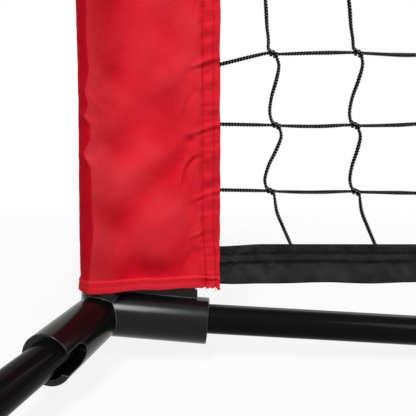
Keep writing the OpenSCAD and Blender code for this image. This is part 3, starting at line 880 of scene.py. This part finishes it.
def smooth_line(points):
    """A line through points, rounded by Catmull-Rom spans."""
    p = np.array(points)
    p = np.concatenate([[2 * p[0] - p[1]], p, [2 * p[-1] - p[-2]]])
    t = np.linspace(0, 1, SPAN_POINTS, endpoint=False)[:, None]
    spans = []
    for a, b, c, d in zip(p, p[1:], p[2:], p[3:]):
        bend = (2 * a - 5 * b + 4 * c - d) * t**2 + (3 * b - a - 3 * c + d) * t**3
        spans.append(0.5 * (2 * b + (c - a) * t + bend))
    return np.concatenate(spans + [p[-2][None]])


def level_twine(j):
    """Row j from sleeve to sleeve, sagging a little between knots."""
    rng = np.random.default_rng(100 + j)
    end_drop = (8.7 if drawn_down(j) else -1.0) * MM
    points = [(-NET_X - 1.0 * MM, 0, knot_place(0, j)[1] - end_drop)]
    for i in range(COLUMNS):
        x, z = knot_place(i, j)
        for dx in (-5.5, 5.5):
            points.append((x + dx * MM, 0.5 * MM * math.sin(i * 2.1 + j), z + dx * -0.05 * MM))
        if i < COLUMNS - 1:
            next_x, next_z = knot_place(i + 1, j)
            sag = rng.uniform(-0.5, 0.9) * MM
            points.append(((x + next_x) / 2, rng.uniform(-0.5, 0.5) * MM, (z + next_z) / 2 - sag))
    points.append((NET_X + 1.0 * MM, 0, z - 2.0 * MM))
    return resample(smooth_line(points))


def upright_twine(i):
    """Column i from tape to tape: it leaves each knot to the left and comes to the next from the right."""
    rng = np.random.default_rng(300 + i)
    x, z = knot_place(i, 0)
    points = [
        (x + LEAN + 1.5 * MM, 0, tape_high.z - 1.5 * MM),
        (x + LEAN - 1.0 * MM, 0, tape_high.z + 4 * MM),
        (x + LEAN * 0.62, 0, tape_high.z + 16 * MM),
        (x + LEAN * 0.33, 0, tape_high.z + 28 * MM),
    ]
    for j in range(ROWS):
        x, z = knot_place(i, j)
        points += [
            (x + 3.3 * MM, -0.4 * MM, z - 3.6 * MM),
            (x + 2.6 * MM, -1.3 * MM, z - 1.3 * MM),
            (x - 2.6 * MM, -1.3 * MM, z + 1.5 * MM),
            (x - 3.9 * MM, -0.4 * MM, z + 4.2 * MM),
        ]
        if j < ROWS - 1:
            next_x, next_z = knot_place(i, j + 1)
            amount = rng.uniform(0.75, 1.25) * (0.3 if j == STAGGERED_ROW else 1)
            deep = rng.uniform(-0.8, 0.8) * MM
            for share, bow in ((0.2, -5.0), (0.4, -2.9), (0.62, 1.6), (0.82, 4.6)):
                wander = bow * amount * MM + (next_x - x) * share
                points.append((x + wander, deep * math.sin(math.pi * share), z + (next_z - z) * share))
    points += [
        (x - 4.6 * MM, 0, z + 18 * MM),
        (x - 2.0 * MM, 0, top_tape_low.z - 8 * MM),
        (x, 0, top_tape_low.z + 1.5 * MM),
    ]
    return resample(smooth_line(points))


def knot_wrap(i, j):
    """The short length of twine that binds a crossing: it lies across the knot, wound over the level twine."""
    x, z = knot_place(i, j)
    t = np.linspace(0, 1, 31)
    turns, coil = 2.0, 1.9 * MM
    turn = 2 * math.pi * (turns * t + 0.25)
    return np.stack([
        x + (-3.2 + 6.4 * t) * MM,
        coil * np.cos(turn),
        z + (1.4 - 2.8 * t) * MM + coil * 0.9 * np.sin(turn),
    ], -1)


def twine_radius(path):
    """A braid is never quite even. It is pulled thin beside the knots and swells between them."""
    low_knots = tape_high.z + LOW_GAP
    level = abs(path[0, 2] - path[-1, 2]) < MESH_H
    from_knot = path[:, 0] / MESH_W if level else (path[:, 2] - low_knots) / MESH_H
    at = np.arange(len(path)) * RING_STEP
    uneven = 0.05 * np.sin(at / (11 * MM)) + 0.04 * np.sin(at / (4.7 * MM) + 1.0)
    return TWINE_R * (0.86 + 0.3 * np.abs(np.sin(math.pi * from_knot)) ** 0.7 + uneven)


def make_net():
    paths = [level_twine(j) for j in range(ROWS)] + [upright_twine(i) for i in range(COLUMNS)]
    points, faces, raised = tubes(paths, [twine_radius(path) for path in paths], braid=0.22)
    net = make_piece("mesh_twine", points, faces, TWINE, "net", {"raised": raised})
    wraps = [knot_wrap(i, j) for i in range(COLUMNS) for j in range(ROWS)]
    points, faces, raised = tubes(wraps, [WRAP_R] * len(wraps), braid=0.15)
    knots = make_piece("mesh_knots", points, faces, TWINE, "net", {"raised": raised})
    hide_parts("net_mesh")


# ---- tapes ----

TAPE_STITCH = 3.9 * MM
TAPE_H = 33  # mm, the height that the numbers of its profile are written for
TAPE_ROWS = (18.2, 25.6)  # mm, its two rows of stitches


def tape_heights():
    """Heights of the grid's rows in mm from the single edge, close together at the stitches and the edges."""
    up = [0, 0.4, 1.0, *np.linspace(2.2, 16.6, 12), 17.2, 17.7, 18.2, 18.7, 19.2, *np.linspace(20.4, 24, 4)]
    return np.array(up + [24.7, 25.2, 25.6, 26.0, 26.5, *np.linspace(27.6, 31, 4), 32, 32.6, TAPE_H])


def slanting_creases(X, fold_side, seed):
    """Short slanting creases in the single part of the tape."""
    rng = np.random.default_rng(seed)
    total = 0.0
    for _ in range(150):
        middle, slope = rng.uniform(-NET_X, NET_X), rng.choice([-1.0, 1.0]) * rng.uniform(0.6, 1.4)
        along = (X - middle) / MM
        crest = rng.uniform(0.08, 0.4) * ridge(along * slope - (fold_side - 9), rng.uniform(1.5, 4))
        total = total + crest * ridge(along, rng.uniform(4, 12)) * (fold_side < 17.5)
    return total


def make_tape(name, node, low, high, hem_down, seed):
    """A folded woven tape: double on the net's side from its first stitch row on, single beyond, slightly wavy."""
    height = high.z - low.z
    x = np.arange(-NET_X - 0.5 * MM, NET_X + 1.2 * MM, TAPE_STITCH / 3)
    up = tape_heights()
    X, U = np.meshgrid(x, TAPE_H - up[::-1] if hem_down else up)
    scale = height / TAPE_H
    fold_side = TAPE_H - U if hem_down else U
    edge_sag = 1.0 * MM * wave_noise(X, X * 0, 110 * MM, seed, 2) * (1 - fold_side / TAPE_H)
    near_end = smooth_step(np.abs(X), NET_X - 38 * MM, NET_X)
    drop = (1.6 * near_end * (1 - U / TAPE_H) + 1.8 * near_end * U / TAPE_H) * MM
    Z = low.z + U * scale + (-edge_sag if hem_down else edge_sag - drop)
    double = smooth_step(fold_side, 17, 19)
    bulge = 0.35 * double + 0.25 * np.sin(math.pi * np.clip((fold_side - 18) / 15, 0, 1))
    sunk = sum(0.34 * ridge(fold_side - row, 0.7) for row in TAPE_ROWS)
    crease = slanting_creases(X, fold_side, seed + 1)
    puff = 0.18 * wave_noise(X, U * MM, 12 * MM, seed + 2, 2)
    drift = 0.5 * wave_noise(X, X * 0, 170 * MM, seed + 3, 1)
    rim = 0.45 * (ridge(fold_side - TAPE_H, 1.2) + 0.5 * ridge(fold_side, 0.9))
    half = 0.62 + bulge - sunk + puff * 0.6 - rim
    front = np.stack([X, (drift - half - crease) * MM, Z], -1)
    rear = np.stack([X, (drift + half - crease * 0.8) * MM, Z], -1)
    needle = np.cos(2 * math.pi * (X + NET_X) / TAPE_STITCH)
    uneven = 0.75 + 0.45 * wave_noise(X, U * MM, 9 * MM, seed + 4, 2) + 0.3 * needle
    wander = 0.5 * wave_noise(X, X * 0, 7 * MM, seed + 5, 2)
    upper, lower = (fold_side - row for row in TAPE_ROWS)
    # painted shade along the sunk stitch rows, and in the fold at the single edge
    dark_rows = 1.7 * ridge(upper - wander, 1.1) + 1.6 * ridge(lower + wander, 0.9)
    painted_shade = np.clip(dark_rows * uneven + 0.7 * ridge(fold_side, 0.5), 0, 1)
    # painted highlight on the creases, paler up to the second stitch row than beyond it
    painted_sheen = np.clip(crease * 2.2 + 0.45 - 0.3 * smooth_step(fold_side, 25, 27), 0, 1)
    marks = {"painted_shade": np.stack([painted_shade, painted_shade]), "painted_sheen": np.stack([painted_sheen, painted_sheen])}
    cloth = np.stack([X, U * scale], -1)
    tape = make_piece(
        name, np.stack([front, rear]), shell_faces(*X.shape), WEBBING, "net", marks, np.stack([cloth, cloth]),
    )
    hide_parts(node)
    runs = []
    for row in TAPE_ROWS:
        level = int(np.argmin(np.abs(fold_side[:, 0] - row)))
        for grid, away in ((front, -1.0), (rear, 1.0)):
            line = grid[level, 2:-3]
            runs.append((line, np.broadcast_to((0.0, away, 0.0), line.shape)))
    sewn = stitches(f"{name}_stitches", runs, TAPE_STITCH, BLACK_THREAD, "net", 0.25 * MM)


make_sleeve("left", False, (11, 31))
make_sleeve("right", True, (51, 71))
make_net()
make_tape("bottom_tape_cloth", "bottom_tape", tape_low, tape_high, False, 7)
make_tape("top_tape_cloth", "top_tape", top_tape_low, top_tape_high, True, 17)

# ---- stage ----


def floor_finish():
    """Near white where it is seen, with the object's soft shadow; it throws less light back on the object."""
    finish = Finish("pale_floor", Roughness=0.9, Base_Color=grey(0.8))
    glow = finish.node("ShaderNodeEmission", inputs={"Strength": 1.0})
    dull = finish.node("ShaderNodeBsdfDiffuse", inputs={"Color": grey(0.3)})
    x, y = finish.two_parts(finish.place())
    far_out = finish.math("MAXIMUM", abs(x) - 0.6, abs(y)).above(0.5, 1.3)
    seen = finish.mix_shaders(far_out * 0.14 + 0.86, Value(finish, finish.shader.outputs[0]), glow)
    both = finish.mix_shaders(finish.background_ray(), dull, seen)
    finish.feed(finish.tree.nodes["Material Output"].inputs["Surface"], both)
    return finish.material


def make_floor():
    reach = 9
    corners = [(-reach, -reach, 0), (reach, -reach, 0), (reach, reach, 0), (-reach, reach, 0)]
    mesh = bpy.data.meshes.new("floor")
    mesh.from_pydata(corners, [], [(0, 1, 2, 3)])
    mesh.materials.append(floor_finish())
    floor = bpy.data.objects.new("floor", mesh)
    bpy.context.scene.collection.objects.link(floor)


def make_world():
    """White where it is seen, and a dim even light from all round."""
    world = bpy.data.worlds.new("studio")
    bpy.context.scene.world = world
    world.use_nodes = True
    nodes = Nodes(world.node_tree)
    nodes.tree.nodes.clear()
    white = nodes.node("ShaderNodeBackground", inputs={"Strength": 1.0, "Color": (1, 1, 1, 1)})
    soft = nodes.node("ShaderNodeBackground", inputs={"Strength": 0.1})
    both = nodes.mix_shaders(nodes.background_ray(), soft, white)
    nodes.node("ShaderNodeOutputWorld", inputs={"Surface": both})


def soft_lamp(name, place, target, size, watts):
    data = bpy.data.lights.new(name, "AREA")
    data.shape = "RECTANGLE"
    data.size, data.size_y = size
    data.energy = watts
    lamp = bpy.data.objects.new(name, data)
    lamp.location = place
    lamp.rotation_mode = "QUATERNION"
    lamp.rotation_quaternion = (Vector(target) - Vector(place)).to_track_quat("-Z", "Y")
    bpy.context.scene.collection.objects.link(lamp)


def make_camera():
    """Looks along the net's depth at the lower left corner, tipped down by about six degrees."""
    data = bpy.data.cameras.new("camera")
    data.sensor_width = 36
    data.lens = 38.94
    data.clip_start = 0.01
    camera = bpy.data.objects.new("camera", data)
    hub_z = SLEEVE_Z - 21.5 * MM  # the middle of the left connector's hub
    camera.location = (0.090 - POLE_X, -0.3755, hub_z + 0.1295)
    tipped = 6.04
    camera.rotation_euler = (math.radians(90 - tipped), 0, 0)
    bpy.context.scene.collection.objects.link(camera)
    bpy.context.scene.camera = camera


make_floor()
make_world()
soft_lamp("key", (1.5, -2.34, 2.41), (-0.75, 0, 0.25), (1.62, 1.62), 66)
soft_lamp("top", (-1.28, -2.07, 2.66), (-0.87, 0, 0.05), (0.65, 1.26), 87)
soft_lamp("left", (-2.6, -1.2, 0.8), (-0.85, 0, 0.2), (0.9, 1.2), 2)
soft_lamp("rear", (0.6, 2.2, 1.7), (0, 0, 0.3), (2.4, 1.2), 30)
make_camera()
bpy.context.scene.view_settings.view_transform = "Standard"
